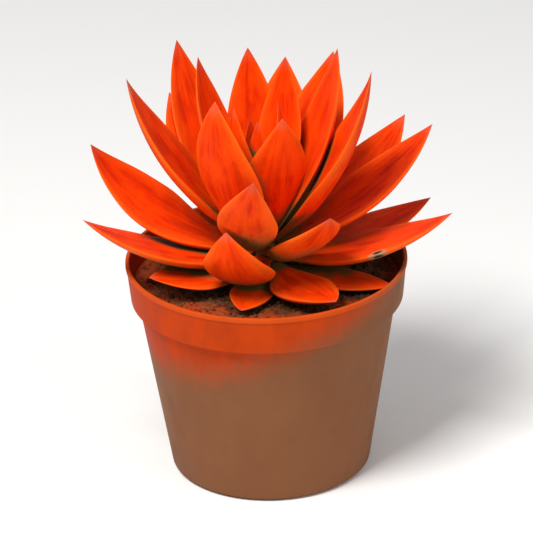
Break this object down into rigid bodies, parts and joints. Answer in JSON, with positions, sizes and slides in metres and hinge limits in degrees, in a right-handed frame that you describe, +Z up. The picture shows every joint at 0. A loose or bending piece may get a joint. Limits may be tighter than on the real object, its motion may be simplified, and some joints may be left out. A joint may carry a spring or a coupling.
{
  "type": "potted echeveria",
  "caption": "Rosette of pointed fleshy leaves, sprayed orange-red, on a short stem in peat, in a thin round grower's pot with a collar band.",
  "frame": {"origin": "centre of the pot's underside, on the ground", "axes": "+Z up; +X to the right and -Y toward the viewer of the picture"},
  "size_m": [0.1365, 0.1246, 0.1651],
  "materials": {
    "pot": "moulded, lightly oversprayed",
    "soil": "damp peat",
    "stem": "matt bark",
    "leaf": "sprayed satin colour over a fleshy leaf"
  },
  "bodies": {
    "root": {"pot": "pot", "soil": "soil", "stem": "stem", "leaf_01": "leaf", "leaf_02": "leaf", "leaf_03": "leaf", "leaf_04": "leaf", "leaf_05": "leaf", "leaf_06": "leaf", "leaf_07": "leaf", "leaf_08": "leaf", "leaf_09": "leaf", "leaf_10": "leaf", "leaf_11": "leaf", "leaf_12": "leaf", "leaf_13": "leaf", "leaf_14": "leaf", "leaf_15": "leaf", "leaf_16": "leaf", "leaf_18": "leaf", "leaf_19": "leaf", "leaf_20": "leaf", "leaf_21": "leaf", "leaf_22": "leaf", "leaf_23": "leaf", "leaf_24": "leaf", "leaf_25": "leaf", "leaf_26": "leaf", "leaf_27": "leaf", "leaf_28": "leaf", "leaf_29": "leaf", "leaf_30": "leaf", "heart": "leaf"}
  },
  "joints": []
}
